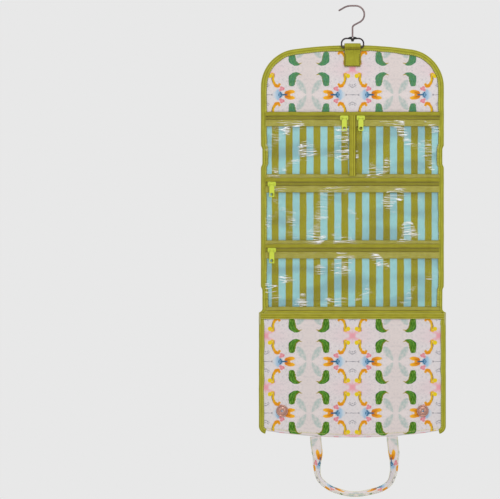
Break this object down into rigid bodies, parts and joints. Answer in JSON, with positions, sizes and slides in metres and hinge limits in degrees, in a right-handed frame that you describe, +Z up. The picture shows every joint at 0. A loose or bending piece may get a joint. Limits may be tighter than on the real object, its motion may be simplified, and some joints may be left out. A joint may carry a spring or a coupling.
{
  "type": "hanging toiletry bag",
  "caption": "Fold-up wash bag hung open from a swivel hook: printed canvas body with zipped clear pockets, a snap-down front cover and two carry handles.",
  "frame": {"origin": "the point under the crown of the hook that rests on the rail", "axes": "+Z up, against gravity, as the bag hangs open; -Y out of the open side with the clear pockets; +X to the right as seen from the open side"},
  "size_m": [0.281, 0.0136, 0.7376],
  "materials": {
    "hook_steel": "polished gunmetal plate on steel wire",
    "green_webbing": "olive green twill webbing",
    "printed_canvas": "cotton canvas with a mirrored leaf and blossom print",
    "plain_lining": "plain woven lining",
    "striped_lining": "woven lining with aqua and olive stripes",
    "stiffener_board": "flexible board sealed inside the panels",
    "soft_padding": "thin wadding",
    "green_binding": "olive green ribbed tape, matt",
    "clear_vinyl": "clear glossy film",
    "zip_tape": "woven zip tape",
    "zip_coil": "moulded coil",
    "lime_enamel": "bright lime enamel on cast metal",
    "snap_metal": "rose gold plate",
    "plate_metal": "polished gold plate, blank",
    "handle_canvas": "printed canvas strap with green stitched edges"
  },
  "bodies": {
    "hook": {"hanger_hook": "hook_steel"},
    "ring": {"swivel_ring": "hook_steel"},
    "upper_part": {"hook_loop": "green_webbing", "upper_shell": "printed_canvas", "upper_stiffener": "stiffener_board", "upper_snap_washers": "snap_metal", "upper_print_lining": "printed_canvas", "upper_stripe_lining": "striped_lining", "upper_binding": "green_binding", "snap_studs": "snap_metal", "row_1_band": "green_binding", "centre_divider": "green_binding", "zip_1_left_tapes": "zip_tape", "zip_1_left_coils": "zip_coil", "window_1_left": "clear_vinyl", "zip_1_right_tapes": "zip_tape", "zip_1_right_coils": "zip_coil", "window_1_right": "clear_vinyl"},
    "top_spine": {"top_spine_shell": "printed_canvas", "top_spine_padding": "soft_padding", "top_spine_lining": "striped_lining", "top_spine_bindings": "green_binding"},
    "back_part": {"back_shell": "printed_canvas", "back_stiffener": "stiffener_board", "back_lining": "striped_lining", "back_bindings": "green_binding", "row_2_band": "green_binding", "row_3_band": "green_binding", "zip_2_tapes": "zip_tape", "zip_2_coils": "zip_coil", "window_2": "clear_vinyl", "zip_3_tapes": "zip_tape", "zip_3_coils": "zip_coil", "window_3": "clear_vinyl"},
    "base_spine": {"base_shell": "printed_canvas", "base_stiffener": "stiffener_board", "base_lining": "striped_lining", "base_bindings": "green_binding", "row_3_foot_band": "green_binding"},
    "front_cover": {"cover_shell": "printed_canvas", "cover_stiffener": "stiffener_board", "cover_lining": "plain_lining", "cover_snap_washers": "snap_metal", "cover_bindings": "green_binding", "slip_pocket_binding": "green_binding", "slip_pocket": "printed_canvas", "snap_sockets": "snap_metal", "nameplate": "plate_metal"},
    "front_handle": {"front_handle": "handle_canvas"},
    "rear_handle": {"rear_handle": "handle_canvas"},
    "slider_1_left": {"slider_1_left": "lime_enamel"},
    "pull_1_left": {"pull_1_left": "lime_enamel"},
    "slider_1_right": {"slider_1_right": "lime_enamel"},
    "pull_1_right": {"pull_1_right": "lime_enamel"},
    "slider_2": {"slider_2": "lime_enamel"},
    "pull_2": {"pull_2": "lime_enamel"},
    "slider_3": {"slider_3": "lime_enamel"},
    "pull_3": {"pull_3": "lime_enamel"}
  },
  "joints": [
    {"name": "hook_swivel", "type": "hinge", "parent": "hook", "child": "ring", "pos_m": [0, 0, -0.0477], "axis": [0, 0, 1], "continuous": true},
    {"name": "ring_tilt", "type": "hinge", "parent": "ring", "child": "upper_part", "pos_m": [0, 0, -0.061], "axis": [-1, 0, 0], "range_deg": [-20, 165]},
    {"name": "fold_top_upper", "type": "hinge", "parent": "upper_part", "child": "top_spine", "pos_m": [0, 0.003, -0.2111], "axis": [-1, 0, 0], "range_deg": [0, 90], "deforming": ["window_1_left", "window_1_right", "centre_divider"]},
    {"name": "fold_top_lower", "type": "hinge", "parent": "top_spine", "child": "back_part", "pos_m": [0, 0.003, -0.2381], "axis": [-1, 0, 0], "range_deg": [0, 90], "deforming": ["window_1_left", "window_1_right", "centre_divider"]},
    {"name": "fold_base_upper", "type": "hinge", "parent": "back_part", "child": "base_spine", "pos_m": [0, 0.003, -0.4228], "axis": [-1, 0, 0], "range_deg": [0, 90], "deforming": ["window_3"]},
    {"name": "fold_base_lower", "type": "hinge", "parent": "base_spine", "child": "front_cover", "pos_m": [0, 0.003, -0.4576], "axis": [-1, 0, 0], "range_deg": [0, 90]},
    {"name": "front_handle_swing", "type": "hinge", "parent": "front_cover", "child": "front_handle", "pos_m": [0, 0.0051, -0.6468], "axis": [1, 0, 0], "range_deg": [-100, 100]},
    {"name": "rear_handle_swing", "type": "hinge", "parent": "back_part", "child": "rear_handle", "pos_m": [0, 0.0085, -0.2421], "axis": [1, 0, 0], "range_deg": [0, 175]},
    {"name": "slider_1_left_slide", "type": "slide", "parent": "upper_part", "child": "slider_1_left", "axis": [-1, 0, 0], "range_m": [0, 0.108]},
    {"name": "pull_1_left_swing", "type": "hinge", "parent": "slider_1_left", "child": "pull_1_left", "pos_m": [-0.0124, -0.0019, -0.1669], "axis": [-1, 0, 0], "range_deg": [0, 160]},
    {"name": "slider_1_right_slide", "type": "slide", "parent": "upper_part", "child": "slider_1_right", "axis": [1, 0, 0], "range_m": [0, 0.108]},
    {"name": "pull_1_right_swing", "type": "hinge", "parent": "slider_1_right", "child": "pull_1_right", "pos_m": [0.0124, -0.0019, -0.1669], "axis": [-1, 0, 0], "range_deg": [0, 160]},
    {"name": "slider_2_slide", "type": "slide", "parent": "back_part", "child": "slider_2", "axis": [1, 0, 0], "range_m": [0, 0.242]},
    {"name": "pull_2_swing", "type": "hinge", "parent": "slider_2", "child": "pull_2", "pos_m": [-0.12105, -0.0019, -0.2661], "axis": [-1, 0, 0], "range_deg": [0, 160]},
    {"name": "slider_3_slide", "type": "slide", "parent": "back_part", "child": "slider_3", "axis": [1, 0, 0], "range_m": [0, 0.242]},
    {"name": "pull_3_swing", "type": "hinge", "parent": "slider_3", "child": "pull_3", "pos_m": [-0.12105, -0.0019, -0.3653], "axis": [-1, 0, 0], "range_deg": [0, 160]}
  ],
  "couplings": [
    {"joint": "fold_top_lower", "follows": "fold_top_upper", "ratio": 1},
    {"joint": "fold_base_lower", "follows": "fold_base_upper", "ratio": 1}
  ]
}
